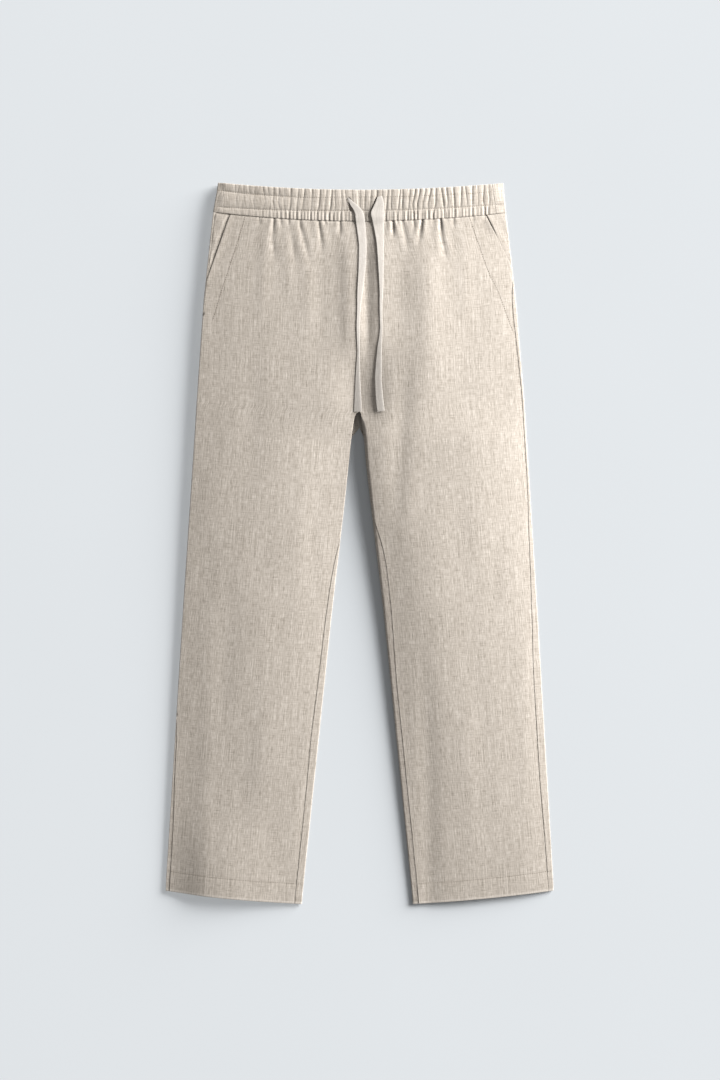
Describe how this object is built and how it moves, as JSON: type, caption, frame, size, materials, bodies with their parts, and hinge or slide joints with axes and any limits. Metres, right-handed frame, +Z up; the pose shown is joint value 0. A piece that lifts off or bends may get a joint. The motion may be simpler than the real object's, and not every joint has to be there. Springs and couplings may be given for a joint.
{
  "type": "linen drawstring trousers",
  "caption": "Straight-leg linen trousers laid flat, with a gathered waistband, slanted pocket openings and two loose drawstrings.",
  "frame": {"origin": "centre of the underside of the box around the laid-out trousers, measured without the drawstrings", "axes": "+X to the right seen from above with the waist away, +Y from the hems towards the waist, +Z up from the surface that they lie on"},
  "size_m": [0.5475, 1.017, 0.0186],
  "materials": {
    "linen": "matte slubby plain weave, greige",
    "tape": "matte plain weave, pale"
  },
  "bodies": {
    "root": {"front_left": "linen", "front_right": "linen", "back_left": "linen", "back_right": "linen", "waistband_front": "linen", "waistband_back": "linen", "pocket_facing_left": "linen", "pocket_facing_right": "linen", "drawstring_left": "tape", "drawstring_right": "tape"}
  },
  "joints": []
}
